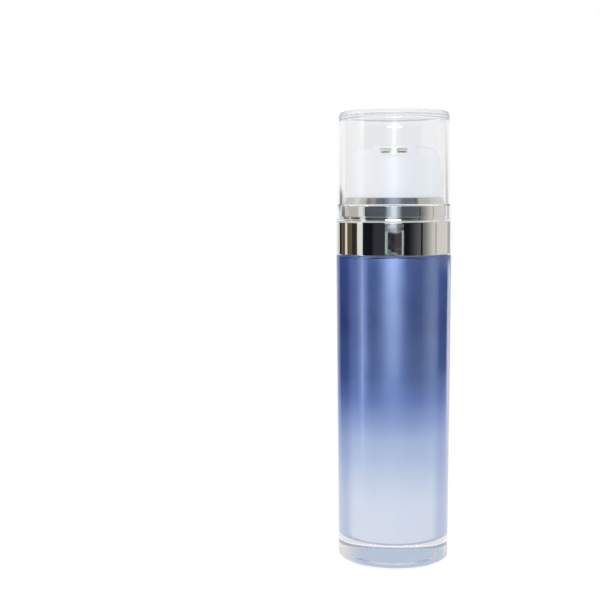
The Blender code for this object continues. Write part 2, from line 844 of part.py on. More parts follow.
def make_return_springs():
    """Wire helices from the housing's ledge to the foot of the stem."""
    low_z = ledge_z + fit_gap + spring_wire_r
    high_z = stem_foot_z - fit_gap - spring_wire_r
    count = spring_turns * spring_points_per_turn
    route = []
    for step in range(count + 1):
        angle = 2 * math.pi * step / spring_points_per_turn
        rise = (high_z - low_z) * step / count
        route.append(Vector((spring_r * math.cos(angle), spring_r * math.sin(angle), rise)))
    apart = spring_points_per_turn // 2
    gaps = [
        (first - second).length - 2 * spring_wire_r
        for index, first in enumerate(route)
        for second in route[index + apart:]
    ]
    print(f"least gap between the spring's own turns: {min(gaps) * 1000:.2f} mm")
    for side, x in sides:
        curve = bpy.data.curves.new(f"return_spring_{side}", "CURVE")
        curve.dimensions = "3D"
        curve.bevel_depth = spring_wire_r
        curve.bevel_resolution = 1
        curve.use_fill_caps = True
        spline = curve.splines.new("POLY")
        spline.points.add(len(route) - 1)
        for point, place in zip(spline.points, route):
            point.co = (*place, 1)
        spring = bpy.data.objects.new(f"return_spring_{side}", curve)
        spring.location = (x, 0, low_z)
        parts.objects.link(spring)
        keep(as_mesh(spring), spring_steel)


head_holder = empty("head_slide", (0, 0, head_z))
make_outer_bottle()
make_inner_sleeve()
make_neck_gasket()
make_pump_plate()
make_collar_band()
make_shoulder_ring()
make_over_cap()
make_actuator_shell(head_holder)
make_nozzle_inserts(head_holder)
make_actuator_core(head_holder)
make_chambers()
make_follower_pistons()
make_pump_housings()
make_inlet_balls()
make_lock_rings()
make_stems(head_holder)
make_stem_seals(head_holder)
make_return_springs()

print(f"height {cap_top_z * 1000:.1f} mm, diameter {2 * body_top_r * 1000:.1f} mm")
print(f"head stroke {head_stroke * 1000:.1f} mm, piston travel {piston_travel * 1000:.1f} mm")
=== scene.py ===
# %% [markdown]
# # A dual-chamber pump bottle: the looks
#
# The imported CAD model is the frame: every piece already has its true size and place. This script puts
# finer surfaces and real finishes on it. The bottle is a set of turned plastic pieces, so most of them are
# made the same way: a profile is drawn as points of (radius, level), and a Geometry Nodes tree turns it
# about the bottle's axis. Lengths are in metres, +Z is up, and the two outlets face -Y.

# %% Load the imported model
import math

import bpy
import bmesh
import numpy as np
from mathutils import Matrix, Vector


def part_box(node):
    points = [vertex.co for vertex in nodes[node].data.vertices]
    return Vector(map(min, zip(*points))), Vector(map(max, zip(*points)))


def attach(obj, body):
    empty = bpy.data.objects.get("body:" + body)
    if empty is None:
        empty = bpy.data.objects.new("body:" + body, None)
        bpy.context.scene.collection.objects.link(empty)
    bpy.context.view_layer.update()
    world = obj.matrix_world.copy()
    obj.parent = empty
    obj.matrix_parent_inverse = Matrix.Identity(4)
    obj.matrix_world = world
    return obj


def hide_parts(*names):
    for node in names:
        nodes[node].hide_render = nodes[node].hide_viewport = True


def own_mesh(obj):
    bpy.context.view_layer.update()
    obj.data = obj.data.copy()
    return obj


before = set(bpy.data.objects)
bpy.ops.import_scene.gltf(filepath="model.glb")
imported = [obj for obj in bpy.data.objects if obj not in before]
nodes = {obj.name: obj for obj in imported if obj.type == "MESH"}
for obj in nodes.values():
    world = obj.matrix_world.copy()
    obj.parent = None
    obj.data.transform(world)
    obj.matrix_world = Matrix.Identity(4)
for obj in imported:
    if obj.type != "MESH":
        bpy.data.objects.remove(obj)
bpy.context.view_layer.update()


# %% [markdown]
# ## Sizes
#
# Most names and values are those of the CAD source; a few edges are rounder or sharper here. Radii are given
# at the outside of each piece, and levels above the surface that the bottle stands on. Where a piece has a
# box in the frame, its size is read from there, so that it can't drift from the model.

# %% Sizes that the pieces share
gap = 0.0003
body_taper_t = 0.00065
neck_step_t = 0.0013
tier_step_t = 0.0018
shoulder_z = 0.1068
body_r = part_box("outer_bottle")[1].x
foot_r = body_r - body_taper_t
neck_r = body_r - neck_step_t
tier_r = body_r - tier_step_t
neck_top_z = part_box("outer_bottle")[1].z
sleeve_top_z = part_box("inner_sleeve")[1].z
cap_rim_z, cap_top_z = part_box("over_cap")[0].z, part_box("over_cap")[1].z
band_foot_z, band_top_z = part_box("collar_band")[0].z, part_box("collar_band")[1].z
ring_foot_z, tier_top_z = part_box("shoulder_ring")[0].z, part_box("shoulder_ring")[1].z
head_z, head_top_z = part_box("actuator_shell")[0].z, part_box("actuator_shell")[1].z
for name, low_z, high_z in (("cap", cap_rim_z, cap_top_z), ("head", head_z, head_top_z)):
    print(f"{name}: {low_z * 1000:.1f} to {high_z * 1000:.1f} mm above the floor")

# %% [markdown]
# ## Helpers for node trees
#
# Shader and geometry trees are built by the same small method: it takes a node's type, its settings, and
# the values or links of its sockets. A second helper, `Number`, wraps a socket and overloads + - * / so that
# a mask can be written as a sum, such as `1 - mask * 0.4`.

# %% One method that adds any node
def set_stops(elements, stops):
    """Give a colour ramp its stops, each a position and a colour."""
    elements[0].position, elements[1].position = stops[0][0], stops[-1][0]
    for position, _ in stops[1:-1]:
        elements.new(position)
    for element, (_, colour) in zip(elements, stops):
        element.color = (*colour, 1.0)


def add_node(tree, kind, settings=None, sockets=None):
    """Add a node, make its settings, then set or link its sockets by name or index."""
    node = tree.nodes.new(kind)
    for name, value in (settings or {}).items():
        if name == "stops":
            set_stops(node.color_ramp.elements, value)
        else:
            setattr(node, name, value)
    for key, value in (sockets or {}).items():
        socket = node.inputs[key]
        if isinstance(value, Number):
            value = value.socket
        if isinstance(value, bpy.types.NodeSocket):
            tree.links.new(value, socket)
        else:
            socket.default_value = value
    return node


class Number:
    """A number that varies over a surface. Sums on it add Math nodes to its tree."""

    def __init__(self, tree, socket):
        self.tree = tree
        self.socket = socket

    def math(self, operation, *values):
        node = add_node(self.tree, "ShaderNodeMath", {"operation": operation}, dict(enumerate(values)))
        return Number(self.tree, node.outputs[0])

    def __add__(self, other):
        return self.math("ADD", self, other)

    def __radd__(self, other):
        return self.math("ADD", other, self)

    def __sub__(self, other):
        return self.math("SUBTRACT", self, other)

    def __rsub__(self, other):
        return self.math("SUBTRACT", other, self)

    def __mul__(self, other):
        return self.math("MULTIPLY", self, other)

    def __rmul__(self, other):
        return self.math("MULTIPLY", other, self)

    def __truediv__(self, other):
        return self.math("DIVIDE", self, other)

    def __rtruediv__(self, other):
        return self.math("DIVIDE", other, self)

    def above(self, level, soft):
        """0 below a level and 1 above it, with a soft step this wide to each side."""
        settings = {"interpolation_type": "SMOOTHSTEP"}
        sockets = {"Value": self, "From Min": level - soft, "From Max": level + soft}
        return Number(self.tree, add_node(self.tree, "ShaderNodeMapRange", settings, sockets).outputs[0])

    def between(self, low, high, soft):
        """1 between two levels and 0 outside them."""
        return self.above(low, soft) - self.above(high, soft)


def mix_colours(tree, factor, first, second):
    """A Mix node between two colours, each a tuple or a socket."""
    first, second = [(*c, 1.0) if isinstance(c, tuple) and len(c) == 3 else c for c in (first, second)]
    node = add_node(tree, "ShaderNodeMix", {"data_type": "RGBA"}, {0: factor, 6: first, 7: second})
    return node.outputs[2]


def show_mix(tree, factor, first, second):
    """Mix two shader nodes, and let the material show the result."""
    sockets = {0: factor, 1: first.outputs[0], 2: second.outputs[0]}
    mixed = add_node(tree, "ShaderNodeMixShader", None, sockets)
    tree.links.new(mixed.outputs[0], tree.nodes["Material Output"].inputs["Surface"])


# %% [markdown]
# ## Finishes
#
# Each finish has a Principled shader, and the clear acrylic and the lacquer mix a second shader into it. What
# is the same all over the surface is set on the shader itself. What varies, such as moulding texture or the
# lacquer's fade, comes from the place on the object in metres, so it stays on the piece when it moves.

# %% A finish and what its patterns read
class Finish:
    """A material with one Principled shader and its object coordinates."""

    def __init__(self, name, colour, roughness, metallic=0.0, **constants):
        self.material = bpy.data.materials.new(name)
        self.material.use_nodes = True
        self.tree = self.material.node_tree
        self.shader = self.tree.nodes["Principled BSDF"]
        self.set("Base Color", (*colour, 1.0))
        self.set("Roughness", roughness)
        self.set("Metallic", metallic)
        for key, value in constants.items():
            self.set(key.replace("_", " "), value)
        self.place = add_node(self.tree, "ShaderNodeTexCoord").outputs["Object"]
        split = add_node(self.tree, "ShaderNodeSeparateXYZ", None, {0: self.place})
        self.z = Number(self.tree, split.outputs["Z"])

    def set(self, key, value):
        """Set or link one socket of the shader."""
        if isinstance(value, Number):
            value = value.socket
        if isinstance(value, bpy.types.NodeSocket):
            self.tree.links.new(value, self.shader.inputs[key])
        else:
            self.shader.inputs[key].default_value = value

    def noise(self, size, detail=2.0, stretch=(1, 1, 1)):
        """Noise whose blots are about this size in metres, stretched along an axis if asked."""
        vector = self.place
        if stretch != (1, 1, 1):
            sockets = {"Vector": self.place, "Scale": tuple(1 / s for s in stretch)}
            vector = add_node(self.tree, "ShaderNodeMapping", None, sockets).outputs[0]
        sockets = {"Vector": vector, "Scale": 1 / size, "Detail": detail}
        return Number(self.tree, add_node(self.tree, "ShaderNodeTexNoise", None, sockets).outputs[0])

    def bump(self, height, depth):
        """Raise the surface by a pattern, to a depth in metres."""
        node = add_node(self.tree, "ShaderNodeBump", None, {"Distance": depth, "Height": height})
        self.set("Normal", node.outputs[0])


# %% [markdown]
# ### Clear acrylic
#
# Cap and bottle are injection-moulded acrylic: a smooth clear solid that bends light. It is glass-like
# transmission with acrylic's refractive index. Shadow rays pass straight through, so that the clear pieces
# don't throw a black shadow on what is inside them. A trace of moulding ripple keeps the long
# reflections from looking ruled.

# %% Clear acrylic
acrylic_ior = 1.49
smudge_size, smudge_roughness = 0.004, 0.012
ripple_size, ripple_depth = 0.012, 0.00001


def clear_finish(name, colour):
    """Clear acrylic with a few faint smudges, a long slow ripple and no shadow of its own."""
    finish = Finish(name, colour, 0.0, Transmission_Weight=1.0, IOR=acrylic_ior)
    tree = finish.tree
    finish.set("Roughness", finish.noise(smudge_size).above(0.62, 0.2) * smudge_roughness)
    finish.bump(finish.noise(ripple_size, 1.0, (1, 1, 3)), ripple_depth)
    shadow_ray = add_node(tree, "ShaderNodeLightPath").outputs["Is Shadow Ray"]
    through = add_node(tree, "ShaderNodeBsdfTransparent", None, {0: (0.96, 0.97, 0.98, 1)})
    show_mix(tree, shadow_ray, finish.shader, through)
    return finish


cap_acrylic = clear_finish("cap_acrylic", (0.955, 0.96, 0.968))
bottle_acrylic = clear_finish("bottle_acrylic", (0.975, 0.98, 0.99))
print("made", cap_acrylic.material.name, "and", bottle_acrylic.material.name)

# %% [markdown]
# ### Faded pearl lacquer
#
# The inner cup is sprayed. Near the neck it is a pearly blue, and towards the foot the spray thins out to
# white. A pearl lacquer has two parts: a coloured base, and tiny bright flakes that mirror the lights in a
# broad soft streak. One shader can't have a blue base and paler flakes, so two are mixed, by a share of
# flakes that follows the level. The fade wavers slowly, because spray never ends in a ruled line. A painted
# shade darkens the colour and thins the flakes towards the bottle's sides, seen at a slant, where less light
# falls. The top stop is a painted shade too: dark, as nothing lights the cup behind the collar.

# %% Faded pearl lacquer
fade_length_mm = 110.0
waver_size, waver_reach = 0.03, 0.004
blot_size, blot_share, blot_colour = 0.006, 0.05, (0.75, 0.80, 0.90)
flake_size, flake_depth, flake_colour = 0.0003, 0.000001, (0.51, 0.66, 1.0, 1)
# Painted side shade: the slant where it starts, its softness, and the tint that darkens the colour there.
slant, slant_soft, side_shade_tint = 0.185, 0.045, (0.68, 0.71, 0.84)

# Each stop is a share of the fade's length, from the foot up, and the colour there.
fade_and_shade_stops = (
    (0.07, (0.92, 0.945, 0.965)),
    (0.20, (0.91, 0.94, 0.96)),
    (0.28, (0.78, 0.85, 0.91)),
    (0.34, (0.65, 0.75, 0.89)),
    (0.40, (0.59, 0.69, 0.86)),
    (0.46, (0.38, 0.50, 0.77)),
    (0.53, (0.19, 0.29, 0.62)),
    (0.60, (0.075, 0.155, 0.43)),
    (0.75, (0.024, 0.078, 0.33)),
    (0.961, (0.040, 0.10, 0.40)),
    # The last stop is a painted shade: a dark line just under the collar, as nothing lights the cup behind
    # it.
    (0.967, (0.016, 0.04, 0.15)),
)

sleeve_lacquer = Finish("sleeve_lacquer", (0.5, 0.6, 0.8), 0.45, Specular_IOR_Level=0.1)
tree = sleeve_lacquer.tree
waver = sleeve_lacquer.noise(waver_size) * waver_reach - waver_reach / 2
level = (sleeve_lacquer.z + waver) * 1000
height = add_node(tree, "ShaderNodeMapRange", None, {"Value": level, "From Max": fade_length_mm})
ramp = add_node(tree, "ShaderNodeValToRGB", {"stops": fade_and_shade_stops}, {0: height.outputs[0]})
blots = sleeve_lacquer.noise(blot_size, 3.0, (1, 1, 2)).above(0.5, 0.3)
sprayed = mix_colours(tree, blots * blot_share, ramp.outputs[0], blot_colour)
# Painted shade: towards the bottle's sides, seen at a slant, the colour is darkened where less light falls.
facing = add_node(tree, "ShaderNodeLayerWeight", None, {"Blend": 0.5}).outputs["Facing"]
edge = Number(tree, facing).above(slant, slant_soft)
side_shaded = add_node(tree, "ShaderNodeVectorMath", {"operation": "MULTIPLY"}, {0: sprayed, 1: side_shade_tint})
sleeve_lacquer.set("Base Color", mix_colours(tree, edge, sprayed, side_shaded.outputs[0]))
flakes = sleeve_lacquer.noise(flake_size, 1.0)
sleeve_lacquer.set("Roughness", 0.42 + flakes * 0.06)
sleeve_lacquer.bump(flakes, flake_depth)
pearl = add_node(tree, "ShaderNodeBsdfPrincipled", None, {
    "Base Color": flake_colour, "Metallic": 1.0, "Roughness": 0.235 + flakes * 0.035,
})
# The painted side shade also thins the flakes towards the bottle's sides.
pearl_share = (0.07 + level.above(62, 14) * 0.28 + blots * 0.02) * (1 - edge * 0.65)
show_mix(tree, pearl_share, sleeve_lacquer.shader, pearl)
print("lacquer stops:", len(fade_and_shade_stops))

# %% [markdown]
# ### Bright plating
#
# Both collar pieces are plastic with a mirror-bright metal coat. Plated plastic is never quite flat: it has
# a slow ripple like orange peel, and handling leaves faint duller spots.

# %% Bright plating
bright_plating = Finish("bright_plating", (0.83, 0.83, 0.82), 0.03, metallic=1.0)
smudges = bright_plating.noise(0.005, 3.0).above(0.6, 0.15)
bright_plating.set("Roughness", 0.025 + smudges * 0.03)
bright_plating.bump(bright_plating.noise(0.004, 1.0), 0.000012)

# %% [markdown]
# ### Moulded plastics, rubber and steel
#
# The head is a smooth white polypropylene. A very fine spark-eroded texture from the mould softens its
# shine. The outlets are a beige plastic, duller. The pump pieces inside are unpigmented, so they are a
# milky white; their seals are a soft rubber. The springs and balls are stainless steel.

# %% Moulded plastics, rubber and steel
def moulded(name, colour, roughness, grain=0.0002, depth=0.000002, tint=0.04):
    """A moulded plastic: fine mould texture, and a slow drift in its colour and shine."""
    finish = Finish(name, colour, roughness, IOR=1.5)
    drift = finish.noise(0.01).above(0.5, 0.35)
    darker = tuple(c * (1 - tint) for c in colour)
    finish.set("Base Color", mix_colours(finish.tree, drift, colour, darker))
    finish.set("Roughness", roughness - 0.03 + finish.noise(0.003) * 0.06)
    finish.bump(finish.noise(grain, 1.0), depth)
    return finish


white_plastic = moulded("white_plastic", (0.90, 0.915, 0.93), 0.34, tint=0.015)
outlet_plastic = moulded("outlet_plastic", (0.70, 0.70, 0.61), 0.42, tint=0.08)
natural_plastic = moulded("natural_plastic", (0.80, 0.81, 0.80), 0.38)
seal_rubber = moulded("seal_rubber", (0.66, 0.66, 0.64), 0.62, depth=0.000004)
spring_steel = Finish("spring_steel", (0.60, 0.60, 0.60), 0.25, metallic=1.0)
spring_steel.set("Roughness", 0.18 + spring_steel.noise(0.0008, 2.0, (1, 1, 0.2)) * 0.16)
ball_steel = Finish("ball_steel", (0.66, 0.66, 0.67), 0.10, metallic=1.0)
ball_steel.set("Roughness", 0.08 + ball_steel.noise(0.0006) * 0.06)
finishes = (cap_acrylic, bottle_acrylic, sleeve_lacquer, bright_plating, white_plastic, outlet_plastic,
            natural_plastic, seal_rubber, spring_steel, ball_steel)
print("finishes:", ", ".join(finish.material.name for finish in finishes))

# %% [markdown]
# ## Turning a profile with Geometry Nodes
#
# A lathe has one rule: each point of the profile goes round the axis. The tree makes a flat grid with a row
# for each profile point and a column for each step round, reads the profile point of its row, and turns it
# by the angle of its column. Merging by distance closes the seam and the poles. A Spin in mesh code would
# do the same; the tree keeps the number of steps as a named input.

# %% The turning tree
def new_geometry_tree(name, inputs):
    """A geometry tree with a geometry in and out, and named inputs of the given types and defaults."""
    tree = bpy.data.node_groups.new(name, "GeometryNodeTree")
    tree.interface.new_socket("Geometry", in_out="INPUT", socket_type="NodeSocketGeometry")
    tree.interface.new_socket("Geometry", in_out="OUTPUT", socket_type="NodeSocketGeometry")
    for label, kind, default in inputs:
        socket = tree.interface.new_socket(label, in_out="INPUT", socket_type=kind)
        if default is not None:
            socket.default_value = default
    return tree, add_node(tree, "NodeGroupInput"), add_node(tree, "NodeGroupOutput")


def end_tree(tree, given, result, geometry):
    """Make the geometry real, give it the tree's finish and hand it out."""
    real = add_node(tree, "GeometryNodeRealizeInstances", None, {0: geometry})
    sockets = {"Geometry": real.outputs[0], "Material": given.outputs["Finish"]}
    dressed = add_node(tree, "GeometryNodeSetMaterial", None, sockets)
    tree.links.new(dressed.outputs[0], result.inputs["Geometry"])


turning_tree, given, result = new_geometry_tree("turned piece", [
    ("Steps round", "NodeSocketInt", 96),
    ("Weld distance", "NodeSocketFloat", 0.000004),
    ("Finish", "NodeSocketMaterial", None),
])
counted = add_node(turning_tree, "GeometryNodeAttributeDomainSize", None, {0: given.outputs["Geometry"]})
steps_round = Number(turning_tree, given.outputs["Steps round"])
point_count = Number(turning_tree, counted.outputs["Point Count"])
sheet = add_node(turning_tree, "GeometryNodeMeshGrid", None, {
    "Size X": steps_round, "Size Y": point_count - 1,
    "Vertices X": steps_round + 1, "Vertices Y": point_count,
})
position = add_node(turning_tree, "GeometryNodeInputPosition").outputs[0]
spot = add_node(turning_tree, "ShaderNodeSeparateXYZ", None, {0: position})
column = Number(turning_tree, spot.outputs["X"]) + steps_round * 0.5
row = Number(turning_tree, spot.outputs["Y"]) + (point_count - 1) * 0.5
profile_place = add_node(turning_tree, "GeometryNodeSampleIndex", {"data_type": "FLOAT_VECTOR"}, {
    "Geometry": given.outputs["Geometry"],
    "Value": position,
    "Index": row + 0.5,
})
turn = add_node(turning_tree, "ShaderNodeVectorRotate", {"rotation_type": "Z_AXIS"}, {
    "Vector": profile_place.outputs[0], "Angle": column * (2 * math.pi) / steps_round,
})
placed = add_node(turning_tree, "GeometryNodeSetPosition", None, {
    "Geometry": sheet.outputs[0], "Position": turn.outputs[0],
})
welded = add_node(turning_tree, "GeometryNodeMergeByDistance", None, {
    "Geometry": placed.outputs[0], "Distance": given.outputs["Weld distance"],
})
end_tree(turning_tree, given, result, welded.outputs[0])
print("nodes in the turning tree:", len(turning_tree.nodes))

# %% [markdown]
# ## Profiles and finished meshes
#
# A corner with a third value gets an arc of that radius, which is what a mould's edges have. A long straight
# stretch gets an extra point close to each end. Smooth shading blends the normals of neighbouring faces, and
# without those points an arc would bend the reflections of the whole wall next to it. The tree runs as a
# modifier, its result becomes a plain mesh, and the normals are made to point outwards.

# %% Profiles with rounded corners
reach_share = 0.48
merge_reach, shortest_edge = 0.000002, 0.000001


def rounded(points, steps=8):
    """Replace each corner that gives a third value by an arc of that radius."""
    outline = []
    for index, point in enumerate(points):
        if len(point) == 2:
            outline.append(point)
            continue
        corner = Vector(point[:2])
        before = Vector(points[index - 1][:2]) - corner
        after = Vector(points[(index + 1) % len(points)][:2]) - corner
        half = before.angle(after) / 2
        reach = min(point[2] / math.tan(half), reach_share * min(before.length, after.length))
        radius = reach * math.tan(half)
        centre = corner + (before.normalized() + after.normalized()).normalized() * (radius / math.sin(half))
        start = corner + before.normalized() * reach - centre
        end = corner + after.normalized() * reach - centre
        sweep = math.pi - 2 * half
        for step in range(steps + 1):
            angle = sweep * step / steps
            arm = (start * math.sin(sweep - angle) + end * math.sin(angle)) / math.sin(sweep)
            outline.append(tuple(centre + arm))
    return outline


def supported(outline, reach=0.00006):
    """Add a point near both ends of each stretch that is long enough."""
    points = []
    for here, after in zip(outline, outline[1:]):
        points.append(here)
        here, after = Vector(here), Vector(after)
        if (after - here).length > 8 * reach:
            step = (after - here).normalized() * reach
            points += [tuple(here + step), tuple(after - step)]
    return points + [outline[-1]]


def new_object(name, data):
    """A new object in the scene."""
    obj = bpy.data.objects.new(name, data)
    bpy.context.scene.collection.objects.link(obj)
    return obj


def give(obj, finish):
    """Give a piece one finish."""
    obj.data.materials.clear()
    obj.data.materials.append(finish.material)


def keep_result(obj, modifier):
    """Keep what a modifier makes of an object as its plain mesh, and remove the modifier."""
    obj.update_tag()
    bpy.context.view_layer.update()
    mesh = bpy.data.meshes.new_from_object(obj.evaluated_get(bpy.context.evaluated_depsgraph_get()))
    mesh.name = obj.name
    obj.modifiers.remove(modifier)
    obj.data = mesh


def run_tree(obj, tree, **values):
    """Run a geometry tree on an object and keep its result as the object's plain mesh."""
    modifier = obj.modifiers.new(tree.name, "NODES")
    modifier.node_group = tree
    for item in tree.interface.items_tree:
        key = item.name.lower().replace(" ", "_")
        if item.item_type == "SOCKET" and item.in_out == "INPUT" and key in values:
            modifier[item.identifier] = values[key]
    keep_result(obj, modifier)


def settle(obj, sharp=35.0):
    """Close doubles, point the faces outwards, and shade smooth up to the sharp edges."""
    shape = bmesh.new()
    shape.from_mesh(obj.data)
    bmesh.ops.remove_doubles(shape, verts=shape.verts, dist=merge_reach)
    bmesh.ops.dissolve_degenerate(shape, edges=shape.edges, dist=shortest_edge)
    bmesh.ops.recalc_face_normals(shape, faces=shape.faces)
    open_edges = sum(1 for edge in shape.edges if not edge.is_manifold)
    shape.to_mesh(obj.data)
    shape.free()
    obj.data.shade_smooth()
    obj.data.set_sharp_from_angle(angle=math.radians(sharp))
    print(f"{obj.name}: {len(obj.data.polygons)} faces, {open_edges} open edges")


def turned(name, points, finish, steps=256):
    """A turned piece: its profile, (radius, level) points given down the outside, goes round the axis."""
    outline = rounded(points)
    if outline[0][0] > 0:
        outline.append(outline[0])
    outline = supported(outline)
    mesh = bpy.data.meshes.new(name)
    mesh.from_pydata([(radius, 0, level) for radius, level in outline], [], [])
    obj = new_object(name, mesh)
    run_tree(obj, turning_tree, steps_round=steps, finish=finish.material)
    settle(obj)
    return obj


def dress(obj, body, slot, *cad_nodes):
    """Let a finished piece ride on its body, in place of its CAD nodes."""
    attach(obj, body)
    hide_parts(*cad_nodes)


# %% [markdown]
# ## The clear bottle
#
# One thick moulding: a drafted wall, a solid base 8 mm thick, and a thin neck with a snap bead for the
# collar. A shallow recess leaves a flat ring to stand on. The inner surfaces matter as much as the outer
# ones, because the light bends at both.

# %% The clear bottle
wall_top_t, wall_foot_t, base_t = 0.0020, 0.0017, 0.0080
inner_corner_r = 0.0013
snap_bead_t, snap_bead_h, snap_bead_rise = 0.0003, 0.0010, 0.0024
foot_ring_t, recess_h = 0.00935, 0.0003
cavity_top_r = body_r - wall_top_t
cavity_foot_r = foot_r - wall_foot_t
bead_z = shoulder_z + snap_bead_rise
bead_middle_h = snap_bead_h / 2
recess_r = foot_r - foot_ring_t
clear_bottle = turned("clear_bottle", [
    (0, base_t),
    (cavity_foot_r, base_t, inner_corner_r),
    (cavity_top_r, shoulder_z),
    (cavity_top_r, neck_top_z),
    (neck_r, neck_top_z, 0.0002),
    (neck_r, bead_z + snap_bead_h),
    (neck_r + snap_bead_t, bead_z + bead_middle_h),
    (neck_r, bead_z),
    (neck_r, shoulder_z),
    (body_r, shoulder_z, 0.0004),
    (foot_r, 0, 0.0010),
    (recess_r, 0),
    (recess_r - recess_h, recess_h),
    (0, recess_h),
], bottle_acrylic)
dress(clear_bottle, "bottle", "clear_acrylic", "outer_bottle")

# %% [markdown]
# ## The lacquered inner cup
#
# The cup hangs by its flange on the neck and is pressed into the bottle, so that no air is left between the
# two. That is why the colour seems to fill the bottle from side to side: the thick clear wall works as a
# lens. With even a thin air gap, the wall would mirror the backdrop in a white strip down each side. The
# lacquered face is therefore sunk a twentieth of a millimetre into the clear wall.

# %% The lacquered inner cup
cup_wall_t, cup_flange_t, flange_inset = 0.0012, 0.0008, 0.0001
contact_depth = 0.00005
cup_top_r = cavity_top_r + contact_depth
cup_foot_r = cavity_foot_r + contact_depth
cup_floor_z = base_t - contact_depth
cup_flange_z = sleeve_top_z - cup_flange_t
lacquered_cup = turned("lacquered_cup", [
    (0, cup_floor_z + cup_wall_t),
    (cup_foot_r - cup_wall_t, cup_floor_z + cup_wall_t, 0.0006),
    (cup_top_r - cup_wall_t, shoulder_z),
    (cup_top_r - cup_wall_t, sleeve_top_z),
    (neck_r - flange_inset, sleeve_top_z),
    (neck_r - flange_inset, cup_flange_z),
    (cup_top_r, cup_flange_z),
    (cup_top_r, shoulder_z),
    (cup_foot_r, cup_floor_z, inner_corner_r),
    (0, cup_floor_z),
], sleeve_lacquer)
dress(lacquered_cup, "bottle", "sleeve_lacquer", "inner_sleeve")

# %% [markdown]
# ## The bright collar
#
# Two plated rings. The lower band snaps over the neck and is flush with the bottle. The upper tier is
# narrower, with a chamfered top, and the band's inward lip holds it down. The small radii at their edges
# catch thin lines of light, so they are modelled, not shaded.

# %% The bright collar
band_lip_t, band_lip_overlap = 0.0010, 0.0005
band_skirt_r = neck_r + gap
band_lip_r = neck_r - band_lip_overlap
band_lip_z = band_top_z - band_lip_t
bright_band = turned("bright_band", [
    (body_r, band_top_z, 0.0005),
    (body_r, band_foot_z, 0.00005),
    (band_skirt_r, band_foot_z),
    (band_skirt_r, bead_z - gap),
    (band_skirt_r + snap_bead_t, bead_z + bead_middle_h - gap),
    (band_skirt_r + snap_bead_t, bead_z + bead_middle_h + gap),
    (band_skirt_r, bead_z + snap_bead_h + gap),
    (band_skirt_r, band_lip_z),
    (band_lip_r, band_lip_z),
    (band_lip_r, band_top_z, 0.0002),
], bright_plating)
dress(bright_band, "bottle", "bright_plating", "collar_band")

ring_foot_t, ring_wall_t = 0.0009, 0.0020
tier_gap_h, tier_chamfer_h, tier_chamfer_t, tier_taper_t = 0.0014, 0.0030, 0.0010, 0.00012
waist_r = band_lip_r - gap
bore_r = tier_r - ring_wall_t
tier_z = band_top_z + tier_gap_h
chamfer_z = tier_top_z - tier_chamfer_h
bright_tier = turned("bright_tier", [
    (tier_r - tier_chamfer_t, tier_top_z, 0.0003),
    (tier_r - tier_taper_t, chamfer_z, 0.0002),
    (tier_r, tier_z, 0.0003),
    (waist_r, tier_z),
    (waist_r, ring_foot_z + ring_foot_t),
    (neck_r, ring_foot_z + ring_foot_t),
    (neck_r, ring_foot_z),
    (bore_r, ring_foot_z),
    (bore_r, tier_top_z, 0.0004),
], bright_plating)
dress(bright_tier, "bottle", "bright_plating", "shoulder_ring")

# %% [markdown]
# ## The clear cap
#
# The cap is a drafted tube with a thick top. Over its skirt the wall is a little wider, inside and out, to
# clear the bright tier. Every edge is rounded, and the thick top's inner corner makes the pale line just
# under the rim.

# %% The clear cap
cap_rim_step_t, cap_step_t, cap_taper_t = 0.00015, 0.0004, 0.0004
cap_wall_t, cap_top_t = 0.0013, 0.0021
cap_step_rise, cap_step_h = 0.0048, 0.0003
cap_skirt_clearance = 0.0004
cap_rim_r = body_r - cap_rim_step_t
cap_waist_r = cap_rim_r - cap_step_t
cap_top_r = cap_waist_r - cap_taper_t
skirt_bore_r = tier_r + cap_skirt_clearance
step_z = cap_rim_z + cap_step_rise
cap_inner_top_z = cap_top_z - cap_top_t
clear_cap = turned("clear_cap", [
    (0, cap_top_z),
    (cap_top_r, cap_top_z, 0.0013),
    (cap_waist_r, step_z + cap_step_h),
    (cap_rim_r, step_z),
    (cap_rim_r, cap_rim_z, 0.0003),
    (skirt_bore_r, cap_rim_z, 0.0003),
    (skirt_bore_r, step_z + cap_step_h),
    (cap_waist_r - cap_wall_t, step_z + 2 * cap_step_h),
    (cap_top_r - cap_wall_t, cap_inner_top_z, 0.0010),
    (0, cap_inner_top_z),
], cap_acrylic)
dress(clear_cap, "cap", "clear_acrylic", "over_cap")

# %% [markdown]
# ## The pump head
#
# The head is a turned cup with a soft shoulder, and a brow that swells out of its front to carry the two
# outlets. Where brow and head meet, the real moulding has a soft blend, which a Boolean can't give. So the
# turned surface is projected onto a smooth union: each point moves along its ray from a centre inside the
# head until it meets the blended shape. The mesh is finer over the brow.

# %% Sizes of the head
head_clearance = 0.0004
head_wall_t, head_top_t = 0.0012, 0.0008
shoulder_w, shoulder_h = 0.0060, 0.0035
brow_half_w, brow_stand_t, brow_arch_h = 0.0074, 0.0005, 0.0007
brow_top_drop, brow_foot_drop = 0.0003, 0.0033
outlet_x, outlet_drop = 0.00265, 0.0019
outlet_w, outlet_h = 0.0034, 0.00145
head_r = bore_r - head_clearance
brow_r = head_r + brow_stand_t
brow_top_z = head_top_z - brow_top_drop
brow_foot_z = head_top_z - brow_foot_drop
outlet_z = head_top_z - outlet_drop


def head_outline(radius, top_z, across, down, count):
    """(radius, level) points of the soft shoulder, from its inner edge to the wall."""
    return [(radius - across + across * math.sin(a), top_z - down + down * math.cos(a))
            for a in (math.pi / 2 * k / count for k in range(count + 1))]


# %% The blended shape, as a distance
def head_distance(p):
    """Signed distance, near enough, of points to the turned head."""
    radius, level = np.hypot(p[:, 0], p[:, 1]), p[:, 2]
    u = np.maximum(radius - (head_r - shoulder_w), 0) / shoulder_w
    v = np.maximum(level - (head_top_z - shoulder_h), 0) / shoulder_h
    shoulder = (np.hypot(u, v) - 1) * shoulder_h
    side = np.where(v <= 0, radius - head_r, shoulder)
    return np.where(u <= 0, level - head_top_z, side)


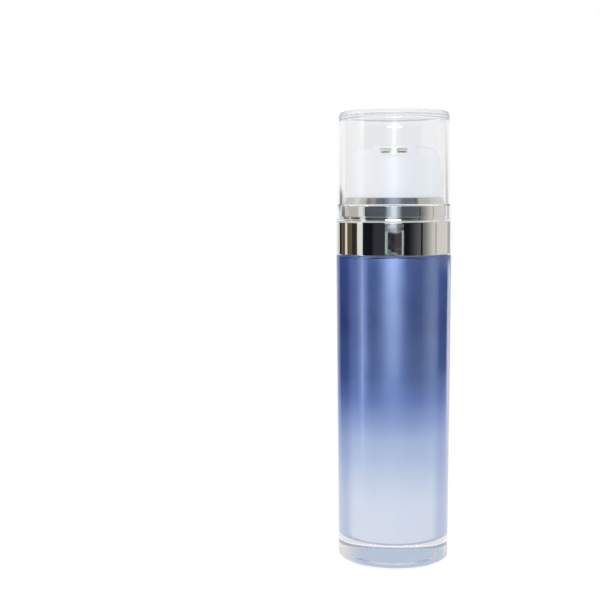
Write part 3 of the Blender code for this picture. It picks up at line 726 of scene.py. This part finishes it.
def brow_distance(p, edge=0.0005):
    """Signed distance to the brow: a slab in front with an arched lower edge and round edges."""
    radius = np.hypot(p[:, 0], p[:, 1])
    share = np.clip(np.abs(p[:, 0]) / brow_half_w, 0, 1)
    foot = brow_foot_z + brow_arch_h * (np.cos(share * math.pi / 2) - 1)
    middle, half = (brow_top_z + foot) / 2, (brow_top_z - foot) / 2
    q = np.stack([np.abs(p[:, 0]) - brow_half_w, np.abs(p[:, 2] - middle) - half, radius - brow_r], 1) + edge
    outside = np.linalg.norm(np.maximum(q, 0), axis=1)
    return np.where(p[:, 1] < 0, outside + np.minimum(q.max(axis=1), 0) - edge, 0.01)


def blended(p, blend=0.0007):
    """Smooth union of head and brow."""
    a, b = head_distance(p), brow_distance(p)
    h = np.clip(0.5 + 0.5 * (b - a) / blend, 0, 1)
    return b + (a - b) * h - blend * h * (1 - h)


# %% The head's mesh
brow_sector, fine_turn, coarse_turn = 36, 0.6, 4
fine_row_h, fine_foot_drop, coarse_top_drop = 0.0001, 0.0055, 0.0056
fine = np.radians(np.arange(-brow_sector, brow_sector, fine_turn)) - math.pi / 2
coarse = np.radians(np.arange(brow_sector, 360 - brow_sector, coarse_turn)) - math.pi / 2
angles = np.concatenate([fine, coarse])
wall_top_z = head_top_z - shoulder_h - fine_row_h
wall_levels = list(np.arange(wall_top_z, head_top_z - fine_foot_drop, -fine_row_h))
wall_levels += list(np.linspace(head_top_z - coarse_top_drop, head_z + 0.0004, 10))
outer = [(0.0, head_top_z)] + [(r, head_top_z) for r in np.linspace(0.002, head_r - shoulder_w - 0.0008, 8)]
outer += head_outline(head_r, head_top_z, shoulder_w, shoulder_h, 56) + [(head_r, z) for z in wall_levels]
inner_r, inner_top_z, rim_z = head_r - head_wall_t, head_top_z - head_top_t, head_z + 0.001
rim = [(head_r, rim_z), (head_r, head_z, 0.0003), (inner_r, head_z, 0.0002), (inner_r, rim_z)]
rim = rounded(rim, 4)[1:-1]
inner = head_outline(inner_r, inner_top_z, shoulder_w - head_wall_t, shoulder_h - head_top_t, 12)[::-1]
rows = outer + rim + inner + [(0.0, inner_top_z)]

places, faces, row_start = [], [], []
for index, (radius, level) in enumerate(rows):
    row_start.append(len(places))
    if radius == 0:
        places.append((0, 0, level))
    else:
        places.extend((radius * math.cos(a), radius * math.sin(a), level) for a in angles)
places = np.array(places)
around = len(angles)
for index in range(len(rows) - 1):
    first, second = row_start[index], row_start[index + 1]
    for k in range(around):
        after = (k + 1) % around
        if rows[index][0] == 0:
            faces.append((first, second + k, second + after))
        elif rows[index + 1][0] == 0:
            faces.append((first + k, second, first + after))
        else:
            faces.append((first + k, second + k, second + after, first + after))

# The outer points go out along their rays until they meet the blended shape.
centre_drop, lowest_moved = 0.009, -0.004
nearest, farthest, halvings = 0.9, 1.12, 22
centre = np.array([0, 0, head_top_z - centre_drop])
outer_count = row_start[len(outer)]
ray = places[:outer_count] - centre
moved = ray[:, 2] > lowest_moved
low, high = np.full(outer_count, nearest), np.full(outer_count, farthest)
for _ in range(halvings):
    middle = (low + high) / 2
    inside = blended(centre + ray * middle[:, None]) < 0
    low, high = np.where(inside, middle, low), np.where(inside, high, middle)
places[:outer_count][moved] = (centre + ray * low[:, None])[moved]
mesh = bpy.data.meshes.new("white_head")
mesh.from_pydata(places.tolist(), [], faces)
white_head = new_object("white_head", mesh)
settle(white_head)

# %% [markdown]
# ### Outlets
#
# Each outlet is a separate insert in a slot of the brow. The slot is cut with a rounded prism, and the insert
# is a small frame with a narrow mouth. Its front is flat and the brow is round, so it lies flush at its outer
# end and about 0.6 mm back at its inner end.

# %% Slots and inserts
def rounded_bar(name, size, corner, reach, middle, steps=6):
    """A bar along Y: its section's size and corner radius, its front and back, and its middle in X and Z."""
    (width, height), (y_front, y_back), (x, z) = size, reach, middle
    section = []
    for cx, cz, start in ((1, 1, 0), (-1, 1, 90), (-1, -1, 180), (1, -1, 270)):
        for k in range(steps + 1):
            a = math.radians(start + 90 * k / steps)
            section.append((x + cx * (width / 2 - corner) + corner * math.cos(a),
                            z + cz * (height / 2 - corner) + corner * math.sin(a)))
    shape = bmesh.new()
    front = [shape.verts.new((px, y_front, pz)) for px, pz in section]
    back = [shape.verts.new((px, y_back, pz)) for px, pz in section]
    shape.faces.new(front)
    shape.faces.new(back[::-1])
    for k in range(len(section)):
        after = (k + 1) % len(section)
        shape.faces.new((front[k], back[k], back[after], front[after]))
    bmesh.ops.recalc_face_normals(shape, faces=shape.faces)
    mesh = bpy.data.meshes.new(name)
    shape.to_mesh(mesh)
    shape.free()
    return new_object(name, mesh)


def cut(obj, tool):
    """Cut a tool out of a piece for good, and remove the tool."""
    modifier = obj.modifiers.new("cut", "BOOLEAN")
    modifier.operation, modifier.solver, modifier.object = "DIFFERENCE", "EXACT", tool
    keep_result(obj, modifier)
    bpy.data.objects.remove(tool)


fit_gap = 0.00006
cut_overrun = 0.001
slot_corner_r, insert_corner_r, mouth_corner_r = 0.00035, 0.00025, 0.0001
slot_size = (outlet_w + 2 * fit_gap, outlet_h + 2 * fit_gap)
mouth_size, mouth_drop = (0.0024, 0.0003), 0.0004
insert_back_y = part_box("nozzle_insert_left")[1].y
insert_front_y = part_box("nozzle_insert_left")[0].y
slot_reach = (-brow_r - 2 * cut_overrun, insert_back_y)
insert_reach = (insert_front_y, insert_back_y)
mouth_reach = (insert_front_y - cut_overrun, insert_back_y + cut_overrun)
for side, x in (("left", -outlet_x), ("right", outlet_x)):
    slot = rounded_bar("slot", slot_size, slot_corner_r, slot_reach, (x, outlet_z))
    cut(white_head, slot)
    insert = rounded_bar(f"outlet_{side}", (outlet_w, outlet_h), insert_corner_r, insert_reach, (x, outlet_z))
    mouth = rounded_bar("mouth", mouth_size, mouth_corner_r, mouth_reach, (x, outlet_z - mouth_drop))
    cut(insert, mouth)
    give(insert, outlet_plastic)
    settle(insert)
    dress(insert, "head", "outlet_plastic", f"nozzle_insert_{side}")
give(white_head, white_plastic)
settle(white_head)
dress(white_head, "head", "white_plastic", "actuator_shell")

# %% [markdown]
# ## Return springs
#
# A spring follows a rule, so Geometry Nodes make it: a line of many points is wound round the axis, and a
# small circle is swept along it. The first and the last turn lie almost flat, as on a real wound spring
# with closed ends.

# %% The coil tree
spring_r, spring_wire_r, spring_turns = 0.002695, 0.0003, 8.0
coil_tree, given, result = new_geometry_tree("wound spring", [
    ("Coil radius", "NodeSocketFloat", spring_r),
    ("Wire radius", "NodeSocketFloat", spring_wire_r),
    ("Height", "NodeSocketFloat", 0.012),
    ("Turns", "NodeSocketFloat", spring_turns),
    ("Points", "NodeSocketInt", 320),
    ("Finish", "NodeSocketMaterial", None),
])
line = add_node(coil_tree, "GeometryNodeCurvePrimitiveLine", None, {"End": (0, 0, 1)})
points = add_node(coil_tree, "GeometryNodeResampleCurve", None, {
    "Curve": line.outputs[0], "Count": given.outputs["Points"],
})
share = Number(coil_tree, add_node(coil_tree, "GeometryNodeSplineParameter").outputs["Factor"])
turns = Number(coil_tree, given.outputs["Turns"])
coil_r = Number(coil_tree, given.outputs["Coil radius"])
wire_r = Number(coil_tree, given.outputs["Wire radius"])
angle = share * turns * (2 * math.pi)
flat_end = 1 / turns
climb = (share - flat_end).math("MAXIMUM", share - flat_end, 0.0)
climb = climb.math("MINIMUM", climb / (1 - flat_end * 2), 1.0)
past_end = share - 1 + flat_end
closed = (share.math("MINIMUM", share, flat_end) + past_end.math("MAXIMUM", past_end, 0.0)) * turns
pitch = wire_r * 2.2
rise = wire_r + closed * pitch + climb * (Number(coil_tree, given.outputs["Height"]) - wire_r * 2 - pitch * 2)
wound = add_node(coil_tree, "ShaderNodeCombineXYZ", None, {
    0: coil_r * angle.math("COSINE", angle), 1: coil_r * angle.math("SINE", angle), 2: rise,
})
helix = add_node(coil_tree, "GeometryNodeSetPosition", None, {
    "Geometry": points.outputs[0], "Position": wound.outputs[0],
})
wire = add_node(coil_tree, "GeometryNodeCurvePrimitiveCircle", None, {"Resolution": 12, "Radius": wire_r})
swept = add_node(coil_tree, "GeometryNodeCurveToMesh", None, {
    0: helix.outputs[0], 1: wire.outputs[0], "Fill Caps": True,
})
end_tree(coil_tree, given, result, swept.outputs[0])

# %% Both springs
head_stroke = 0.0050
for side in ("left", "right"):
    low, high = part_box(f"return_spring_{side}")
    length = high.z - low.z
    mesh = bpy.data.meshes.new(f"spring_{side}")
    mesh.from_pydata([(0, 0, 0)], [], [])
    spring = new_object(f"spring_{side}", mesh)
    run_tree(spring, coil_tree, coil_radius=spring_r, height=length, finish=spring_steel.material)
    spring.data.transform(Matrix.Translation(((low.x + high.x) / 2, 0, low.z)))
    settle(spring, 60)
    dress(spring, "bottle", "spring_steel", f"return_spring_{side}")
    1 - head_stroke / length
    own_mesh(spring)

# %% [markdown]
# ## The pump pieces that keep their CAD shape
#
# Inside the cup and the head there are plates, housings, stems, seals, pistons, chambers and balls. Their
# CAD shapes are already right, so each one keeps its mesh and takes its finish.

# %% Finishes of the inner pieces
def both_sides(*kinds):
    """The left and the right node of each kind."""
    return [f"{kind}_{side}" for side in ("left", "right") for kind in kinds]


inner_finishes = {
    natural_plastic: ["pump_plate"] + both_sides("chamber", "follower_piston", "pump_housing", "pump_stem"),
    white_plastic: both_sides("lock_ring"),
    outlet_plastic: ["actuator_core"],
    seal_rubber: ["neck_gasket"] + both_sides("chamber_gasket", "stem_seal"),
    ball_steel: both_sides("inlet_ball"),
}
for finish, names in inner_finishes.items():
    for name in names:
        for material_slot in nodes[name].material_slots:
            material_slot.material = finish.material
    print(finish.material.name, "on", len(names), "pieces")

# %% [markdown]
# ## Floor
#
# A plain pale floor. The camera sees it almost white, and it keeps the soft shade under the bottle. Seen
# through the thick clear base, the floor right under the bottle has a painted shadow: its glow is a little
# darker there. It thins out to nothing away from the bottle, like paper that curves out of the light, so
# that no edge shows in the bright pieces.

# %% Floor
floor_r, floor_full_r, floor_z = 0.40, 0.06, -0.0001
# Painted shadow: within this reach of the axis the floor's glow is darker by the loss below, where the clear
# base looks at it.
painted_shadow_r, painted_shadow_soft = 0.032, 0.008
glow_strength, painted_shadow_loss, glow_share = 1.04, 0.30, 0.88
bpy.ops.mesh.primitive_circle_add(vertices=128, radius=floor_r, fill_type="NGON", location=(0, 0, floor_z))
floor = bpy.context.object
floor.name = "floor"
paper = bpy.data.materials.new("floor_paper")
paper.use_nodes = True
tree = paper.node_tree
diffuse = tree.nodes["Principled BSDF"]
diffuse.inputs["Base Color"].default_value = (0.90, 0.90, 0.91, 1)
diffuse.inputs["Roughness"].default_value = 0.9
path = add_node(tree, "ShaderNodeLightPath").outputs
clear = add_node(tree, "ShaderNodeBsdfTransparent")
place = add_node(tree, "ShaderNodeTexCoord").outputs["Object"]
length = add_node(tree, "ShaderNodeVectorMath", {"operation": "LENGTH"}, {0: place})
far = Number(tree, length.outputs["Value"])
# Painted shadow under the bottle, for rays that come through the clear base.
painted_shadow = (1 - far.above(painted_shadow_r, painted_shadow_soft)) * path["Is Transmission Ray"]
glow_colour = mix_colours(tree, painted_shadow, (glow_strength,) * 3, (glow_strength - painted_shadow_loss,) * 3)
glow = add_node(tree, "ShaderNodeEmission", None, {"Color": glow_colour, "Strength": 1.0})
seen = Number(tree, path["Is Camera Ray"]).math("MAXIMUM", path["Is Camera Ray"], path["Is Transmission Ray"])
seen = seen.math("MAXIMUM", seen, path["Is Glossy Ray"])
mixed = add_node(tree, "ShaderNodeMixShader", None, {
    0: seen * glow_share, 1: diffuse.outputs[0], 2: glow.outputs[0],
})
thin = far.above((floor_r + floor_full_r) / 2, (floor_r - floor_full_r) / 2)
show_mix(tree, thin, mixed, clear)
floor.data.materials.append(paper)

# %% [markdown]
# ## Studio
#
# The bright collar shows the room, so the room matters. It is a world of named panels, each at an azimuth
# (0 towards the camera's side, positive to the right) and an elevation: a dark front, narrow lights, pale
# walls and a white backdrop. Each part of the bottle mirrors its own band of the room, so the panels come in
# four groups by height: what the band, the tier's wall, its chamfer and the clear wall of the body look at.
# They were set one by one, until the bright and dark fields lay in the photograph's order.

# %% Studio panels
world = bpy.data.worlds.new("studio")
bpy.context.scene.world = world
world.use_nodes = True
tree = world.node_tree
room_turn = 1.2
view = add_node(tree, "ShaderNodeTexCoord").outputs["Generated"]
direction = add_node(tree, "ShaderNodeSeparateXYZ", None, {0: view})
east, north, up = (Number(tree, direction.outputs[axis]) for axis in "XYZ")
azimuth = east.math("ARCTAN2", east, north * -1) * (180 / math.pi) - room_turn
elevation = up.math("ARCSINE", up) * (180 / math.pi)

# Each panel has its azimuths and their softness, its elevations and theirs, a colour and a strength.
panels = {
    # low down, where the band and the body look; the front's panels reach to the top
    "left far wall": (-152, -138, 2, -90, 2, 3, (0.70, 0.69, 0.66), 1.0),
    "left dark gap": (-139, -127, 1.5, -90, 0, 1, (0.012, 0.010, 0.010), 1.0),
    "left brown post": (-127, -114, 1.5, -90, 0, 1, (0.09, 0.066, 0.06), 1.0),
    "cream reflector": (-114, -106, 1.5, -3.4, 0, 0.5, (0.88, 0.78, 0.60), 1.0),
    "left olive cloth": (-107, -93, 2, -90, 0, 0.5, (0.11, 0.095, 0.06), 1.0),
    "left brown cloth": (-94, -76, 2, -90, 0, 0.5, (0.034, 0.029, 0.022), 1.0),
    "dark front": (-66, 58, 2, -90, 90, 5, (0.008, 0.009, 0.013), 1.0),
    "front left slate": (-42, -18, 4, -90, 90, 5, (0.034, 0.040, 0.045), 1.0),
    "front right slate": (42, 90, 17, -90, 90, 5, (0.125, 0.125, 0.12), 1.0),
    "left strip light": (-78.5, -65.5, 1.5, -60, 1, 1, (0.86, 0.86, 0.78), 1.0),
    "stand": (-18, 18.5, 1, -2.88, -1.46, 0.1, (0.42, 0.47, 0.47), 1.0),
    "stand, dark face": (-13, 14.5, 1, -2.70, -1.62, 0.08, (0.014, 0.018, 0.032), 1.0),
    "stand, red side": (0, 14.5, 2, -2.70, -1.62, 0.08, (0.07, 0.05, 0.058), 1.0),
    # over the table, where the tier's wall looks; the right wall's panels reach down too
    "front, over the table": (-62, 50, 4, 0.2, 31, 0.8, (0.055, 0.068, 0.088), 1.0),
    "left wall": (-124, -66, 2, 0.2, 30, 0.8, (0.64, 0.60, 0.53), 1.0),
    "left wall, dark corner": (-154, -128, 5, -0.5, 0.9, 0.3, (0.07, 0.07, 0.07), 1.0),
    "left strip light, middle": (-82, -69, 2, 0.2, 26, 0.8, (0.90, 0.90, 0.88), 1.0),
    "left strip light, top": (-74, -69, 1.5, 4.5, 20, 1, (0.90, 0.90, 0.88), 3.0),
    "light, stem": (-17, 13, 4, -1.3, 8.5, 0.3, (0.32, 0.38, 0.45), 1.0),
    "light, bright stem": (-7, 5, 3, -1.4, 8.5, 0.3, (0.70, 0.78, 0.90), 1.0),
    "light, bright core": (-4, 3, 1.5, 3.8, 8.5, 0.5, (0.90, 0.96, 1.0), 1.8),
    "light, low part": (-12, 8, 3, -1.0, -0.2, 0.08, (0.90, 0.96, 1.0), 2.2),
    "light": (-17.5, 12, 3, 8, 25, 1.5, (0.94, 0.97, 1.0), 120.0),
    "right wall": (58, 90, 1, -90, 90, 5, (0.15, 0.15, 0.145), 1.0),
    "right wall, lit part": (74, 140, 18, -90, 90, 5, (0.74, 0.71, 0.66), 1.0),
    "right wall, joint": (89, 93, 1.5, -90, 5, 1, (0.42, 0.40, 0.36), 1.0),
    "right wall, near edge": (54, 58, 1.2, -90, 12, 2, (0.014, 0.014, 0.014), 1.0),
    "right far wall": (133, 150, 2, -90, 2, 3, (0.45, 0.44, 0.43), 1.0),
    # high up, where the chamfer looks
    "upper front": (-44, 50, 3, 27, 52, 4, (0.12, 0.15, 0.18), 1.0),
    "glow over the light": (-15, 14, 9, 27, 46, 4, (0.38, 0.44, 0.54), 1.0),
    "left curtain": (-58, -44, 3, 27, 50, 3, (0.36, 0.33, 0.31), 1.0),
    "left curtain, grey fold": (-70, -58, 2, 27, 50, 3, (0.28, 0.28, 0.27), 1.0),
    "left curtain, pale fold": (-88, -70, 2, 22, 50, 3, (0.58, 0.58, 0.56), 1.0),
    "left window": (-108, -88, 3, 20, 50, 3, (0.90, 0.90, 0.88), 1.0),
    "right wall, top": (57, 98, 4, 22, 60, 4, (0.56, 0.55, 0.51), 1.0),
    "ceiling": (-190, 190, 2, 52, 120, 6, (0.88, 0.89, 0.91), 1.0),
    # under the collar's level, where only the clear wall looks
    "left strip light, foot": (-69.5, -63.5, 1.5, -40, -3.5, 0.4, (1.0, 1.15, 1.5), 3.4),
    "left screen": (-100, -78, 8, -40, -3.5, 0.4, (0.20, 0.26, 0.60), 1.0),
    "left dark gap, foot": (-134, -103, 3, -14, -3.2, 0.4, (0.012, 0.010, 0.010), 1.0),
    "right screen": (86, 134, 8, -40, -3.4, 0.4, (0.52, 0.55, 0.65), 1.0),
    "right screen, dark edge": (99, 136, 4, -9.0, -3.9, 0.5, (0.02, 0.022, 0.03), 1.0),
    "right screen, foot": (92, 136, 8, -40, -11, 1.5, (0.98, 1.0, 1.02), 1.4),
    "right far wall, foot": (136, 153, 2, -40, -3.4, 0.4, (0.90, 0.95, 1.05), 2.0),
}
room = mix_colours(tree, elevation.above(9, 4), (0.95, 0.95, 0.95), (0.48, 0.54, 0.67))
for name, (az_low, az_high, az_soft, el_low, el_high, el_soft, colour, strength) in panels.items():
    mask = azimuth.between(az_low, az_high, az_soft) * elevation.between(el_low, el_high, el_soft)
    room = mix_colours(tree, mask, room, tuple(c * strength for c in colour))
print("studio panels:", ", ".join(panels))

# %% [markdown]
# ### What each kind of ray sees
#
# Only mirrored rays see the panels. Straight views, also through clear plastic, see white, and diffuse
# surfaces see an even light, brighter from the left front and from above. A ray that is mirrored twice
# sees a pale room. The direct mirror image of the one strong panel, "light", is limited in strength, so that
# it doesn't glare, and the flakes behind the clear wall still get all of its light. A real room does none of
# this; it keeps the picture clean.

# %% What each kind of ray sees
white, pale_room, image_limit = (1.0, 1.0, 1.0), (0.97, 0.98, 1.0), (2.0, 2.0, 2.0)
fill_light, main_light = (0.97, 1.00, 1.05), (1.24, 1.24, 1.24)
path = add_node(tree, "ShaderNodeLightPath").outputs
mirrored = Number(tree, path["Glossy Depth"]).above(0.5, 0.01)
mirrored_again = Number(tree, path["Glossy Depth"]).above(1.5, 0.01)
scattered = Number(tree, path["Diffuse Depth"]).above(0.5, 0.01)
through_clear = Number(tree, path["Transmission Depth"]).above(0.5, 0.01)
limited = add_node(tree, "ShaderNodeVectorMath", {"operation": "MINIMUM"}, {0: room, 1: image_limit})
room = mix_colours(tree, through_clear, limited.outputs[0], room)
reflected = mix_colours(tree, mirrored_again, room, pale_room)
straight = mix_colours(tree, mirrored, white, reflected)
main_side = azimuth.between(-130, 20, 50) * 0.6 + elevation.above(20, 40) * 0.4
even_light = mix_colours(tree, main_side, fill_light, main_light)
seen_light = mix_colours(tree, scattered, straight, even_light)
world.cycles.sampling_method = "NONE"
background = tree.nodes["Background"]
tree.links.new(seen_light, background.inputs["Color"])
background.inputs["Strength"].default_value = 1.0

# %% [markdown]
# ## Camera
#
# The photograph was taken from just above the collar with the bottle right of the middle. The place, the
# turn and the focal length, in pixels of the photograph, were found from the ellipses of the cap, the collar
# and the foot. Light crosses many clear surfaces here, so it may bounce often.

# %% Camera
sensor_w, focal_px, photo_px = 36.0, 1144, 600
tilt_down, roll, pan = 5.085, 0.26, 4.667
clear_bounces = 48
camera_data = bpy.data.cameras.new("camera")
camera_data.sensor_width = sensor_w
camera_data.lens = sensor_w * focal_px / photo_px
camera = new_object("camera", camera_data)
camera.location = (0, -0.40091, 0.12638)
camera.rotation_euler = (math.radians(90 - tilt_down), math.radians(roll), math.radians(pan))
scene = bpy.context.scene
scene.camera = camera
scene.view_settings.view_transform = "Standard"
scene.cycles.blur_glossy = 0.0
scene.cycles.max_bounces = clear_bounces
scene.cycles.transmission_bounces = clear_bounces
scene.cycles.glossy_bounces = clear_bounces
scene.cycles.diffuse_bounces = 4
scene.cycles.transparent_max_bounces = 16
